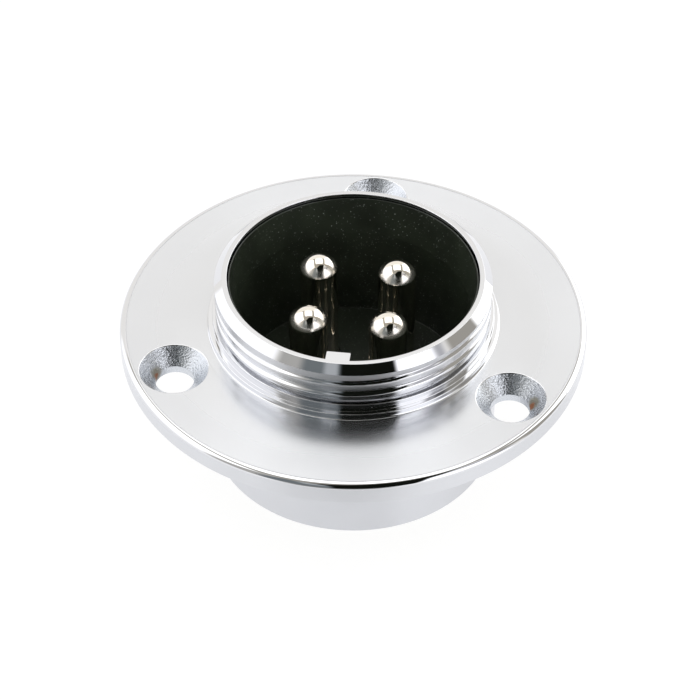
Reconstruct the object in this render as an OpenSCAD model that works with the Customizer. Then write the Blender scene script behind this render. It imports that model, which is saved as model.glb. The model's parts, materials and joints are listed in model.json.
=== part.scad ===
// Flange-mount receptacle of a circular power connector: a plated die-cast
// shell with a threaded collar, a moulded insulating cup and clamp plate, four
// turned male contacts with solder tails, and the snap ring that holds them in.
// The axis is Z and +Z is the mating side. Z = 0 is the flange's rear face,
// which seats on the panel. Millimetres.

/* [Flange] */
// Diameter of the round mounting flange
flange_d = 51; // [49:0.5:60]
// Thickness of the flange
flange_t = 2.5; // [2.3:0.1:4]
// Radial width of the rounded edge round the front face
edge_run = 0.7; // [0.3:0.05:1]
// Drop of the rounded edge below the front face
edge_drop = 0.5; // [0.2:0.05:0.9]
// Small chamfer on the flange's rear edge
rear_chamfer = 0.15; // [0.05:0.05:0.4]

/* [Mounting holes] */
// Number of countersunk mounting holes
hole_count = 3; // [3:1:4]
// Diameter of the circle that the holes stand on
hole_circle_d = 41.6; // [41:0.1:42.4]
// Diameter of the screw holes
hole_d = 4.2; // [3.2:0.1:4.6]
// Diameter of the countersink at the front face
head_d = 7.5; // [6.5:0.1:8]

/* [Collar] */
// Outside diameter of the coupling thread
thread_d = 30; // [29.8:0.1:30.2]
// Height of the rim above the flange's front face
collar_h = 6.3; // [5:0.1:9]
// Bore of the collar
bore_d = 27.2; // [26:0.1:27.6]
// Radial width of the lead-in chamfer outside the rim
lead_in_run = 0.85; // [0.4:0.05:1]
// Height of the lead-in chamfer
lead_in_h = 0.85; // [0.4:0.05:1.4]
// Width of the run-out groove under the thread
runout_w = 0.4; // [0.3:0.05:0.6]
// Depth of the run-out groove
runout_depth = 0.45; // [0.3:0.05:0.5]
// Diameter of the plain neck under the thread
neck_d = 30.7; // [30.3:0.1:31.2]
// Height of the neck above the front face
neck_h = 1.6; // [1.2:0.1:2]
// Diameter of the shoulder at the foot of the neck
shoulder_d = 31.7; // [31.4:0.1:32.5]
// Height of the shoulder
shoulder_h = 0.65; // [0.5:0.05:0.9]
// Fillet between the shoulder and the flange
shoulder_fillet = 0.2; // [0.1:0.05:0.3]

/* [Key] */
// Width of the polarising key inside the collar
key_w = 2.5; // [1.6:0.1:3.2]
// How far the key stands in from the bore
key_reach = 1.2; // [1.1:0.1:1.8]
// Length of the key down from the rim
key_len = 9; // [5:0.5:9.5]

/* [Barrel] */
// Outside diameter of the rear barrel
barrel_d = 32; // [31.6:0.1:34]
// Length of the barrel behind the flange
barrel_len = 14.7; // [14.4:0.1:20]
// Wall of the barrel
barrel_wall = 1.3; // [1.1:0.05:1.5]
// Chamfer round the foot of the barrel, inside and out
foot_chamfer = 0.3; // [0.1:0.05:0.5]

/* [Insulator] */
// Depth of the mating cavity below the rim
cavity_depth = 16.2; // [15:0.1:16.4]
// Drop of the skirt's edge below the rim
skirt_drop = 0.45; // [0.3:0.05:1.5]
// Wall of the skirt that lines the collar
skirt_wall = 0.8; // [0.6:0.05:1.1]
// Thickness of the cup's floor
floor_t = 1.8; // [1.5:0.1:2.2]
// Radius inside the foot of the cavity
floor_fillet = 0.6; // [0.3:0.1:1]
// Length of the thick base that seats on the step in the barrel
base_len = 6.1; // [4:0.1:7]
// Thickness of the rear clamp plate
plate_t = 1.8; // [1.6:0.1:2.2]
// Radial clearance of the mouldings in the shell
mould_fit = 0.1; // [0.05:0.01:0.15]
// Clearance on each side of the key in its slot
key_fit = 0.15; // [0.1:0.01:0.2]

/* [Contacts] */
// Diameter of the circle that the contacts stand on
contact_circle_d = 12.2; // [11.4:0.1:14]
// Diameter of the pins
pin_d = 4.2; // [3.8:0.1:4.4]
// Diameter of the sphere that the pins' tips are turned to
dome_d = 4.5; // [4.5:0.1:6]
// How far the pins' thicker root stands out past the pins, in the cup's floor
root_step = 0.25; // [0.2:0.05:0.3]
// Drop of the pin tips below the rim
pin_recess = 1.8; // [0.5:0.1:5]
// Diameter of the flange that is clamped between cup and plate
grip_d = 6.2; // [5.8:0.1:6.6]
// Thickness of that flange
grip_t = 1; // [0.6:0.1:1.2]
// Diameter of the solder tails
tail_d = 4.4; // [4:0.1:4.6]
// Gap between the tails' ends and the foot of the barrel
tail_recess = 0.5; // [0.2:0.1:1]
// Bore of the solder cup in each tail
cup_bore_d = 3.2; // [2.4:0.1:3.5]
// Depth of the solder cup
cup_depth = 3.2; // [2:0.1:3.6]
// Length of the slanted opening cut in the side of the cup
scarf_len = 2.6; // [2:0.1:3]
// How far past the tail's own axis the slanted cut starts
scarf_offset = 0.4; // [0.2:0.1:0.8]
// Radial clearance of the contacts in the mouldings
contact_fit = 0.06; // [0.03:0.01:0.1]

/* [Snap ring] */
// Thickness of the snap ring
ring_t = 1; // [0.8:0.1:1.2]
// Depth of its groove in the barrel
groove_depth = 0.6; // [0.4:0.05:0.8]
// Radial width of the ring opposite its lugs
ring_w = 2.2; // [1.8:0.1:2.6]
// How much narrower the ring gets at its lugs
ring_taper = 0.9; // [0.4:0.1:1]
// Width of the gap between the lugs
ring_gap = 5; // [3:0.5:7]
// Radius of the lugs
lug_r = 1.5; // [1.3:0.1:1.8]
// Diameter of the plier holes in the lugs
lug_hole_d = 1.4; // [1:0.1:1.6]
// Clearance of the ring in its groove
ring_fit = 0.08; // [0.04:0.01:0.12]

/* [Hidden] */
$fn = 96;

chrome = [0.80, 0.81, 0.82];
phenolic = [0.09, 0.10, 0.09];
nickel = [0.78, 0.75, 0.68];
spring_steel = [0.42, 0.42, 0.44];

arc_steps = 6;     // straight steps in each rounded profile corner
through = 1;       // how far a cutter runs past what it cuts
contact_count = 4;
quarter = 90;

// Heights
rim_z = flange_t + collar_h;
floor_z = rim_z - cavity_depth;
cup_foot_z = floor_z - floor_t;
step_z = cup_foot_z + base_len;
plate_foot_z = cup_foot_z - plate_t;
ring_foot_z = plate_foot_z - ring_t;
foot_z = -barrel_len;
tail_z = foot_z + tail_recess;
tip_z = rim_z - pin_recess;
dome_z = tip_z - dome_d / 2;
skirt_z = rim_z - skirt_drop;
neck_z = flange_t + neck_h;
shoulder_z = flange_t + shoulder_h;

// Radii
bore_r = bore_d / 2;
thread_r = thread_d / 2;
barrel_r = barrel_d / 2;
seat_r = barrel_r - barrel_wall;
groove_r = seat_r + groove_depth;
skirt_r = bore_r - mould_fit;
cavity_r = skirt_r - skirt_wall;
base_r = seat_r - mould_fit;
ring_r = groove_r - ring_fit;
root_d = pin_d + 2 * root_step;

// Screw holes and pins are turned so that the key faces -Y
first_hole_angle = 90;
first_contact_angle = 135;
countersink_depth = (head_d - hole_d) / 2;
scarf_angle = atan((tail_d / 2 - scarf_offset) / scarf_len);

// Points along an arc of centre c and radii rx, rz from angle a to angle b
function arc(c, rx, rz, a, b) = [
    for (i = [0 : arc_steps])
        let (t = a + (b - a) * i / arc_steps)
            [c[0] + rx * cos(t), c[1] + rz * sin(t)]
];

// Half section of the shell, from the foot up the outside and down the bore
function shell_section() = concat(
    [[seat_r + foot_chamfer, foot_z],
     [barrel_r - foot_chamfer, foot_z],
     [barrel_r, foot_z + foot_chamfer],
     [barrel_r, 0]],
    [[flange_d / 2 - rear_chamfer, 0],
     [flange_d / 2, rear_chamfer]],
    arc([flange_d / 2 - edge_run, flange_t - edge_drop], edge_run, edge_drop, 0, quarter),
    arc([shoulder_d / 2 + shoulder_fillet, flange_t + shoulder_fillet],
        shoulder_fillet, shoulder_fillet, -quarter, -2 * quarter),
    [[shoulder_d / 2, shoulder_z],
     [neck_d / 2, shoulder_z],
     [neck_d / 2, neck_z]],
    [[thread_r - runout_depth, neck_z],
     [thread_r - runout_depth, neck_z + runout_w - runout_depth / 2],
     [thread_r, neck_z + runout_w]],
    [[thread_r, rim_z - lead_in_h],
     [thread_r - lead_in_run, rim_z],
     [bore_r, rim_z],
     [bore_r, step_z],
     [seat_r, step_z]],
    [[seat_r, plate_foot_z],
     [groove_r, plate_foot_z],
     [groove_r, ring_foot_z - ring_fit],
     [seat_r, ring_foot_z - ring_fit],
     [seat_r, foot_z + foot_chamfer]]
);

// Clearance hole with a 90 degree countersink down from the front face
module screw_hole() {
    translate([0, 0, -through])
        cylinder(d = hole_d, h = flange_t + 2 * through);
    translate([0, 0, flange_t - countersink_depth])
        cylinder(d1 = hole_d, d2 = head_d, h = countersink_depth);
    translate([0, 0, flange_t])
        cylinder(d = head_d, h = through);
}

// Bar across the -Y side of the bore, from radius inner out into the wall
module key_bar(width, inner, outer, low, high) {
    translate([-width / 2, -outer, low])
        cube([width, outer - inner, high - low]);
}

module shell() {
    color(chrome) {
        difference() {
            rotate_extrude()
                polygon(shell_section());
            for (i = [0 : hole_count - 1])
                rotate(first_hole_angle + i * 360 / hole_count)
                    translate([hole_circle_d / 2, 0, 0])
                        screw_hole();
        }
        intersection() {
            key_bar(key_w, bore_r - key_reach, thread_r, rim_z - key_len, rim_z);
            cylinder(r = (bore_r + thread_r - lead_in_run) / 2, h = rim_z);
        }
    }
}

// Half section of the cup: thick base, floor and the skirt round the cavity
function cup_section() = concat(
    [[0, cup_foot_z],
     [base_r, cup_foot_z],
     [base_r, step_z],
     [skirt_r, step_z],
     [skirt_r, skirt_z],
     [cavity_r, skirt_z]],
    arc([cavity_r - floor_fillet, floor_z + floor_fillet],
        floor_fillet, floor_fillet, 0, -quarter),
    [[0, floor_z]]
);

// Repeats its children at the four contact places
module at_contacts() {
    for (i = [0 : contact_count - 1])
        rotate(first_contact_angle + i * 360 / contact_count)
            translate([contact_circle_d / 2, 0, 0])
                children();
}

module insulator_cup() {
    color(phenolic)
        difference() {
            rotate_extrude()
                polygon(cup_section());
            key_bar(key_w + 2 * key_fit, bore_r - key_reach - key_fit, bore_r + through,
                    rim_z - key_len - key_fit, rim_z + through);
            at_contacts()
                translate([0, 0, cup_foot_z - through])
                    cylinder(d = root_d + 2 * contact_fit, h = floor_t + 2 * through);
        }
}

// Rear plate, counterbored on its front face for the contacts' flanges
module insulator_plate() {
    color(phenolic)
        difference() {
            translate([0, 0, plate_foot_z])
                cylinder(r = base_r, h = plate_t);
            at_contacts() {
                translate([0, 0, plate_foot_z - through])
                    cylinder(d = tail_d + 2 * contact_fit, h = plate_t + 2 * through);
                translate([0, 0, cup_foot_z - grip_t - contact_fit])
                    cylinder(d = grip_d + 2 * contact_fit, h = grip_t + contact_fit + through);
            }
        }
}

// Straight pin whose tip is turned to a slightly larger sphere
module pin_shaft() {
    intersection() {
        translate([0, 0, cup_foot_z])
            cylinder(d = pin_d, h = tip_z - cup_foot_z + through);
        union() {
            translate([0, 0, dome_z])
                sphere(d = dome_d);
            translate([0, 0, cup_foot_z - through])
                cylinder(d = dome_d, h = dome_z - cup_foot_z + through);
        }
    }
}

// Turned contact on its own axis: domed pin on its root, flange and solder tail
module contact() {
    color(nickel)
        difference() {
            union() {
                pin_shaft();
                translate([0, 0, cup_foot_z])
                    cylinder(d = root_d, h = floor_t);
                translate([0, 0, cup_foot_z - grip_t])
                    cylinder(d = grip_d, h = grip_t);
                translate([0, 0, tail_z])
                    cylinder(d = tail_d, h = cup_foot_z - grip_t - tail_z);
            }
            translate([0, 0, tail_z - through])
                cylinder(d = cup_bore_d, h = cup_depth + through);
            // A slanted cut opens the outer side of the cup for the wire
            translate([scarf_offset, -tail_d, tail_z])
                rotate([0, scarf_angle, 0])
                    translate([0, 0, -tail_d])
                        cube([tail_d, 2 * tail_d, 3 * tail_d]);
        }
}

module contact_at(index) {
    rotate(first_contact_angle + index * 360 / contact_count)
        translate([contact_circle_d / 2, 0, 0])
            contact();
}

// Outline of the snap ring, narrower towards the two lugs at its gap
module ring_outline() {
    lug_x = ring_gap / 2 + lug_r;
    lug_y = sqrt(pow(ring_r - lug_r, 2) - pow(lug_x, 2));
    difference() {
        union() {
            difference() {
                circle(r = ring_r);
                translate([0, ring_taper / 2])
                    circle(r = ring_r - ring_w + ring_taper / 2);
                translate([-ring_gap / 2, 0])
                    square([ring_gap, ring_r + through]);
            }
            for (side = [-1, 1])
                translate([side * lug_x, lug_y])
                    circle(r = lug_r);
        }
        for (side = [-1, 1])
            translate([side * lug_x, lug_y])
                circle(d = lug_hole_d);
    }
}

module retaining_ring() {
    color(spring_steel)
        translate([0, 0, ring_foot_z])
            linear_extrude(height = ring_t)
                ring_outline();
}

shell();
insulator_cup();
insulator_plate();
contact_at(0);  // contact_1
contact_at(1);  // contact_2
contact_at(2);  // contact_3
contact_at(3);  // contact_4
retaining_ring();
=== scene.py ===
"""Dressed model of a flange-mount circular power receptacle.

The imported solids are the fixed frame. Each sub-assembly below is a class that
holds its sizes in millimetres, turns or cuts its own mesh in the part's frame,
dresses it with a procedural finish and stands for its CAD node. The origin is
the centre of the screw circle in the flange's rear face, +Z is the mating side
and the polarising key faces -Y.
"""
import json
import logging
import math
from dataclasses import dataclass
from enum import Enum
from typing import Callable, Sequence

import bmesh
import bpy
from mathutils import Matrix, Vector

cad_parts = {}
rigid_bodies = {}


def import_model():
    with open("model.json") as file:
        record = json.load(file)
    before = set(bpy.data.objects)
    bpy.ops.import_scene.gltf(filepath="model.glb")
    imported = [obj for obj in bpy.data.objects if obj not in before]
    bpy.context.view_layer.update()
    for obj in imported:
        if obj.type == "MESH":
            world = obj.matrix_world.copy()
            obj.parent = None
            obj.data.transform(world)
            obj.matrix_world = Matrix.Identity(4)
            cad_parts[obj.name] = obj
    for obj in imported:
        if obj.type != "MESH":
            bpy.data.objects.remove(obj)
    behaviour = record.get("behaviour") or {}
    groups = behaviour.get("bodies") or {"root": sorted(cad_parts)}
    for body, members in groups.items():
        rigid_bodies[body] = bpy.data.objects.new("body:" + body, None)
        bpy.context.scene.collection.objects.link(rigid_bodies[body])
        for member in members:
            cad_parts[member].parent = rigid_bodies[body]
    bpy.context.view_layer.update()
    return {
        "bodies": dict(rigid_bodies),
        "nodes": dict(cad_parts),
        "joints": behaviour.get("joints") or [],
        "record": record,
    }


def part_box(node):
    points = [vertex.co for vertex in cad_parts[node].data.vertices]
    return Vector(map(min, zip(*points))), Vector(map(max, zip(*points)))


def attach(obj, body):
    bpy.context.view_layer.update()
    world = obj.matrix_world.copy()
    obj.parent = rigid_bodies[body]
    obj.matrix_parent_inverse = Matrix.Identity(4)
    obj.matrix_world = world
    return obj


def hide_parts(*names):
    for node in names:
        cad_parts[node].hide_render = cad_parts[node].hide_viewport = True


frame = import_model()

LOG = logging.getLogger("receptacle")
MM = 0.001
TAU = 2.0 * math.pi
ON_AXIS = 1e-6  # a smaller radius is a point on the axis
WELD = 2e-4  # vertices closer than this are one
OVER = 1.0  # how far a cutter stands over what it cuts
LEG_SHARE = 0.48  # most of a side that a rounding may use

Point = tuple[float, float]
Triple = tuple[float, float, float]
Corner = Point | Triple
Colour = Triple
Mesh = bmesh.types.BMesh
Piece = bpy.types.Object
Material = bpy.types.Material
Node = bpy.types.Node
Socket = bpy.types.NodeSocket
Value = float | Sequence[float] | Socket
Reshape = Callable[[float, float, float], float]
Chooser = Callable[[Vector], int]


# Turned and cut meshes


def broken(corners: Sequence[Corner], closed: bool = False, steps: int = 4) -> list[Point]:
    """Rounds the corners of an outline.

    Args:
        corners: the outline's corners in order, each with the radius that breaks it, if any.
        closed: whether the last corner joins the first.
        steps: straight steps in each rounding.

    Returns:
        The outline's points as (radius, height).
    """
    points: list[Point] = []
    for index, corner in enumerate(corners):
        here = Vector(corner[:2])
        if len(corner) == 2 or (not closed and index in (0, len(corners) - 1)):
            points.append((here.x, here.y))
            continue
        back = Vector(corners[index - 1][:2]) - here
        ahead = Vector(corners[(index + 1) % len(corners)][:2]) - here
        half = back.angle(ahead) / 2.0
        reach = min(corner[2] / math.tan(half), LEG_SHARE * back.length, LEG_SHARE * ahead.length)
        back.normalize()
        ahead.normalize()
        centre = here + (back + ahead).normalized() * reach / math.cos(half)
        first = here + back * reach - centre
        sweep = first.angle_signed(here + ahead * reach - centre)
        for step in range(steps + 1):
            turn = -sweep * step / steps
            offset = Vector((first.x * math.cos(turn) - first.y * math.sin(turn),
                             first.x * math.sin(turn) + first.y * math.cos(turn)))
            points.append((centre.x + offset.x, centre.y + offset.y))
    return points


def turned(outline: Sequence[Point], segments: int, closed: bool = False,
           reshape: Reshape | None = None) -> Mesh:
    """Turns an outline about Z.

    Args:
        outline: points as (radius, height), going once round the metal.
        segments: faces round the axis.
        closed: whether the last point joins the first.
        reshape: gives the true radius at (radius, height, angle).

    Returns:
        A closed mesh in millimetres.
    """
    mesh = bmesh.new()
    rings: list[list[bmesh.types.BMVert]] = []
    for radius, height in outline:
        if radius < ON_AXIS:
            rings.append([mesh.verts.new((0.0, 0.0, height))])
            continue
        rings.append([])
        for index in range(segments):
            angle = TAU * index / segments
            true = reshape(radius, height, angle) if reshape else radius
            rings[-1].append(mesh.verts.new(
                (true * math.cos(angle), true * math.sin(angle), height)))
    for low, high in zip(rings, rings[1:] + (rings[:1] if closed else [])):
        for index in range(segments):
            after = (index + 1) % segments
            loop = (low[index % len(low)], low[after % len(low)],
                    high[after % len(high)], high[index % len(high)])
            mesh.faces.new(tuple(dict.fromkeys(loop)))
    bmesh.ops.recalc_face_normals(mesh, faces=mesh.faces)
    return mesh


def rod(steps: Sequence[Point], faces: int) -> Mesh:
    """Stepped round bar about Z, from (radius, height) steps, closed at both ends."""
    return turned([(0.0, steps[0][1]), *steps, (0.0, steps[-1][1])], faces)


def extruded(outline: Sequence[Point], low: float, high: float) -> Mesh:
    """Prism on a flat outline.

    Args:
        outline: corners as (x, y).
        low: height of the foot.
        high: height of the top.

    Returns:
        A closed mesh in millimetres.
    """
    mesh = bmesh.new()
    foot, top = ([mesh.verts.new((x, y, height)) for x, y in outline] for height in (low, high))
    mesh.faces.new(foot)
    mesh.faces.new(top)
    for index in range(len(outline)):
        after = (index + 1) % len(outline)
        mesh.faces.new((foot[index], foot[after], top[after], top[index]))
    bmesh.ops.recalc_face_normals(mesh, faces=mesh.faces)
    return mesh


def bar(low: Sequence[float], high: Sequence[float]) -> Mesh:
    """Square bar between two corners, in millimetres."""
    corners = ((low[0], low[1]), (high[0], low[1]), (high[0], high[1]), (low[0], high[1]))
    return extruded(corners, low[2], high[2])


def arc(centre: Point, radius: float, start: float, end: float, steps: int) -> list[Point]:
    """Points along an arc, from a start to an end in degrees."""
    angles = [math.radians(start + (end - start) * step / steps) for step in range(steps + 1)]
    return [(centre[0] + radius * math.cos(angle), centre[1] + radius * math.sin(angle))
            for angle in angles]


def moved(mesh: Mesh, matrix: Matrix) -> Mesh:
    """The same mesh after a move."""
    mesh.transform(matrix)
    return mesh


def placed(name: str, mesh: Mesh) -> Piece:
    """Puts a mesh into an object of the scene.

    Args:
        name: the object's name.
        mesh: the mesh, which is used up.

    Returns:
        The object.
    """
    data = bpy.data.meshes.new(name)
    mesh.to_mesh(data)
    mesh.free()
    item = bpy.data.objects.new(name, data)
    bpy.context.scene.collection.objects.link(item)
    return item


class Joining(Enum):
    """How a second mesh is combined with a first."""

    ADD = "UNION"
    CUT = "DIFFERENCE"


class Workpiece:
    """A mesh in millimetres that is cut, joined and then dressed as one piece."""

    crease = 38.0
    solvers = ("MANIFOLD", "EXACT")

    def __init__(self, name: str, mesh: Mesh) -> None:
        """Starts the piece from a mesh, which it takes over."""
        self.name = name
        self.item = placed(name, mesh)

    @staticmethod
    def _is_closed(data: bpy.types.Mesh) -> bool:
        """Tells whether a mesh has faces and each edge has exactly two.

        Args:
            data: the mesh.

        Returns:
            True for a closed mesh.
        """
        mesh = bmesh.new()
        mesh.from_mesh(data)
        closed = len(mesh.faces) > 0 and all(edge.is_manifold for edge in mesh.edges)
        mesh.free()
        return closed

    def _applied(self) -> bpy.types.Mesh:
        """Takes the modifiers off.

        Returns:
            The mesh that they gave.
        """
        graph = bpy.context.evaluated_depsgraph_get()
        data = bpy.data.meshes.new_from_object(self.item.evaluated_get(graph))
        self.item.modifiers.clear()
        return data

    def _swap(self, data: bpy.types.Mesh) -> None:
        """Puts a new mesh in the place of the old one, which is removed."""
        old, self.item.data = self.item.data, data
        bpy.data.meshes.remove(old)

    def combine(self, tool: Mesh, joining: Joining) -> None:
        """Adds or cuts away another mesh.

        Args:
            tool: the other mesh, which is used up.
            joining: what is done with it.
        """
        other = placed(self.name + "_tool", tool)
        for solver in self.solvers:
            modifier = self.item.modifiers.new("combine", "BOOLEAN")
            modifier.operation = joining.value
            modifier.solver = solver
            modifier.object = other
            data = self._applied()
            if self._is_closed(data):
                break
            LOG.warning("%s: the %s solver left an open mesh", self.name, solver)
        self._swap(data)
        bpy.data.meshes.remove(other.data)

    def soften(self, width: float, angle: float) -> None:
        """Bevels the sharp edges.

        Args:
            width: width of the bevel in millimetres.
            angle: the least angle of a sharp edge, in degrees.
        """
        modifier = self.item.modifiers.new("soften", "BEVEL")
        modifier.width = width
        modifier.segments = 2
        modifier.limit_method = "ANGLE"
        modifier.angle_limit = math.radians(angle)
        self._swap(self._applied())

    def finish(self, materials: Sequence[Material],
               choose: Chooser | None = None) -> Piece:
        """Scales the mesh to metres, shades it and gives it its materials.

        Args:
            materials: the finishes, in slot order.
            choose: gives the slot of a face from its centre.

        Returns:
            The finished object.
        """
        data = self.item.data
        mesh = bmesh.new()
        mesh.from_mesh(data)
        bmesh.ops.remove_doubles(mesh, verts=mesh.verts, dist=WELD)
        bmesh.ops.dissolve_degenerate(mesh, edges=mesh.edges, dist=WELD)
        loose = [vert for vert in mesh.verts if not vert.link_faces]
        bmesh.ops.delete(mesh, geom=loose, context="VERTS")
        mesh.normal_update()
        # The slots come first, because clearing them sets every face back to the first
        data.materials.clear()
        for material in materials:
            data.materials.append(material)
        for face in mesh.faces:
            face.smooth = True
            face.material_index = choose(face.calc_center_median()) if choose else 0
        mesh.to_mesh(data)
        mesh.free()
        data.set_sharp_from_angle(angle=math.radians(self.crease))
        weighted = self.item.modifiers.new("weighted", "WEIGHTED_NORMAL")
        weighted.mode = "FACE_AREA"
        weighted.keep_sharp = True
        self._swap(self._applied())
        self.item.data.transform(Matrix.Scale(MM, 4))
        return self.item


# Shader building


class Bench:
    """Lays and links the nodes of one tree."""

    def __init__(self, tree: bpy.types.NodeTree) -> None:
        """Works on a tree."""
        self.tree = tree

    def feed(self, socket: Socket, value: Value) -> None:
        """Links an output to an input, or sets the input's own value."""
        if isinstance(value, Socket):
            self.tree.links.new(value, socket)
        elif socket.type == "RGBA":
            socket.default_value = (*value[:3], 1.0)
        else:
            socket.default_value = value

    def node(self, kind: str, settings: dict[str, str] | None = None, *values: Value,
             **inputs: Value) -> Node:
        """Lays a node.

        Args:
            kind: its type without the ShaderNode prefix.
            settings: its properties.
            values: its first inputs in order.
            inputs: its inputs by name, with _ for a space.

        Returns:
            The node.
        """
        node = self.tree.nodes.new("ShaderNode" + kind)
        for name, setting in (settings or {}).items():
            setattr(node, name, setting)
        for socket, value in zip(node.inputs, values):
            self.feed(socket, value)
        for name, value in inputs.items():
            self.feed(node.inputs[name.replace("_", " ")], value)
        return node

    def maths(self, operation: str, *values: Value) -> Socket:
        """Result of a Math node, from its inputs in order."""
        return self.node("Math", {"operation": operation}, *values).outputs[0]

    def times(self, first: Value, second: Value) -> Socket:
        """Product of two numbers."""
        return self.maths("MULTIPLY", first, second)

    def plus(self, first: Value, second: Value) -> Socket:
        """Sum of two numbers."""
        return self.maths("ADD", first, second)

    def sway(self, value: Value, width: Value, middle: Value) -> Socket:
        """Sways over a width about a middle while the value runs from 0 to 1."""
        return self.maths("MULTIPLY_ADD", self.maths("SUBTRACT", value, 0.5), width, middle)

    def noise(self, place: Socket, scale: Value, detail: float, roughness: float) -> Socket:
        """Noise from 0 to 1 with a number of grains per unit of the place."""
        return self.node("TexNoise", Vector=place, Scale=scale, Detail=detail,
                         Roughness=roughness).outputs[0]

    def vector(self, operation: str, *values: Value, output: int = 0) -> Socket:
        """Result of a Vector Math node: a vector, or a number from output 1."""
        return self.node("VectorMath", {"operation": operation}, *values).outputs[output]

    def scaled(self, vector: Value, factor: Value) -> Socket:
        """A vector times a number."""
        return self.node("VectorMath", {"operation": "SCALE"}, vector, Scale=factor).outputs[0]

    def span(self, value: Value, low: Value, high: Value, start: Value = 0.0,
             end: Value = 1.0) -> Socket:
        """Smooth step from a start to an end while the value runs from low to high."""
        node = self.node("MapRange", {"interpolation_type": "SMOOTHSTEP"}, Value=value,
                         From_Min=low, From_Max=high, To_Min=start, To_Max=end)
        return node.outputs[0]

    def between(self, value: Value, low: float, high: float, soft: float) -> Socket:
        """Mask of the values between two limits, soft to either side of each."""
        return self.times(self.span(value, low - soft, low + soft),
                          self.span(value, high - soft, high + soft, 1.0, 0.0))

    def blend(self, factor: Value, first: Value, second: Value) -> Socket:
        """Lays a mix of two colours.

        Args:
            factor: share of the second colour.
            first: the first colour.
            second: the second colour.

        Returns:
            The mixed colour.
        """
        node = self.node("Mix", {"data_type": "RGBA"})
        for index, value in ((0, factor), (6, first), (7, second)):
            self.feed(node.inputs[index], value)
        return node.outputs[2]

    def added(self, first: Node, second: Node) -> Node:
        """Sum of two shaders."""
        return self.node("AddShader", None, first.outputs[0], second.outputs[0])

    def mixed(self, share: Socket, first: Node, second: Node) -> Node:
        """Mix of two shaders, by the second's share."""
        return self.node("MixShader", None, share, first.outputs[0], second.outputs[0])

    def place(self) -> Socket:
        """The point on the surface, in millimetres."""
        return self.scaled(self.node("TexCoord").outputs["Object"], 1.0 / MM)

    def height(self, place: Socket) -> Socket:
        """Height of a point in the part's frame."""
        return self.node("SeparateXYZ", Vector=place).outputs[2]

    def radius(self, place: Socket) -> Socket:
        """Distance of a point from the part's axis."""
        flat = self.vector("MULTIPLY", place, (1.0, 1.0, 0.0))
        return self.vector("LENGTH", flat, output=1)

    def relief(self, height: Value, depth: float) -> Socket:
        """Normal bumped by a height, one unit of which stands for a depth in millimetres."""
        return self.node("Bump", Strength=1.0, Distance=depth * MM, Height=height).outputs[0]


@dataclass(frozen=True)
class Effect:
    """A shader node group that several finishes share."""

    name: str
    inputs: tuple[str, ...]
    outputs: tuple[str, ...]

    def group(self) -> bpy.types.NodeTree:
        """Finds the group, or builds it the first time.

        Returns:
            The group.
        """
        found = bpy.data.node_groups.get(self.name)
        if found:
            return found
        tree = bpy.data.node_groups.new(self.name, "ShaderNodeTree")
        for way, names in (("INPUT", self.inputs), ("OUTPUT", self.outputs)):
            for name in names:
                tree.interface.new_socket(name, in_out=way, socket_type="NodeSocketFloat")
        bench = Bench(tree)
        given = tree.nodes.new("NodeGroupInput").outputs
        result = tree.nodes.new("NodeGroupOutput").inputs
        laid = self.lay(bench, bench.place(), *(given[name] for name in self.inputs))
        for name, value in zip(self.outputs, laid):
            bench.feed(result[name], value)
        return tree

    def lay(self, bench: Bench, place: Socket, *given: Socket) -> tuple[Socket, ...]:
        """Lays the group's nodes. Each effect has its own."""
        raise NotImplementedError

    def on(self, bench: Bench, *values: float) -> list[Socket]:
        """Places the group in a material with its own values.

        Args:
            bench: the material's bench.
            values: the group's inputs in order.

        Returns:
            The group's outputs in order.
        """
        node = bench.tree.nodes.new("ShaderNodeGroup")
        node.node_tree = self.group()
        for socket, value in zip(node.inputs, values):
            socket.default_value = value
        return list(node.outputs)


class Grain(Effect):
    """Fine even grain, and the slow variation of tone under it."""

    def lay(self, bench: Bench, place: Socket, *given: Socket) -> tuple[Socket, ...]:
        """Lays two noises of different size.

        Args:
            bench: the group's bench.
            place: the point on the surface.
            given: grains per mm, clouds per mm and depth.

        Returns:
            Height, fine tone and cloud.
        """
        grains, clouds, depth = given
        fine = bench.noise(place, grains, 2.0, 0.6)
        return bench.sway(fine, depth, 0.0), fine, bench.noise(place, clouds, 3.0, 0.5)


class Flecks(Effect):
    """Scattered small round spots."""

    def lay(self, bench: Bench, place: Socket, *given: Socket) -> tuple[Socket, ...]:
        """Keeps a share of the cells of a Voronoi and draws a spot in each.

        Args:
            bench: the group's bench.
            place: the point on the surface.
            given: cells per mm, share of them with a spot, and size.

        Returns:
            Mask of the spots, and a tone for each.
        """
        cells_per_mm, share, size = given
        cells = bench.node("TexVoronoi", Vector=place, Scale=cells_per_mm)
        chance, wide, tone = bench.node("SeparateColor", Color=cells.outputs["Color"]).outputs
        spot = bench.maths("LESS_THAN", cells.outputs["Distance"],
                           bench.times(size, bench.plus(wide, 0.4)))
        return bench.times(bench.maths("LESS_THAN", chance, share), spot), tone


class ToolMarks(Effect):
    """Fine rings that a turning tool or a polishing wheel leaves round the axis."""

    def lay(self, bench: Bench, place: Socket, *given: Socket) -> tuple[Socket, ...]:
        """Lays a noise that changes with radius and height and hardly round the axis.

        Args:
            bench: the group's bench.
            place: the point on the surface.
            given: rings per mm, change round the axis, and depth.

        Returns:
            Height and tone of the rings.
        """
        per_mm, round_axis, depth = given
        across = bench.node("CombineXYZ", X=bench.radius(place), Y=bench.height(place), Z=0.0)
        flat = bench.vector("MULTIPLY", place, (1.0, 1.0, 0.0))
        rings = bench.vector("ADD", bench.scaled(across.outputs[0], per_mm),
                             bench.scaled(flat, round_axis))
        tone = bench.noise(rings, 1.0, 2.0, 0.55)
        return bench.sway(tone, depth, 0.0), tone


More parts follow.
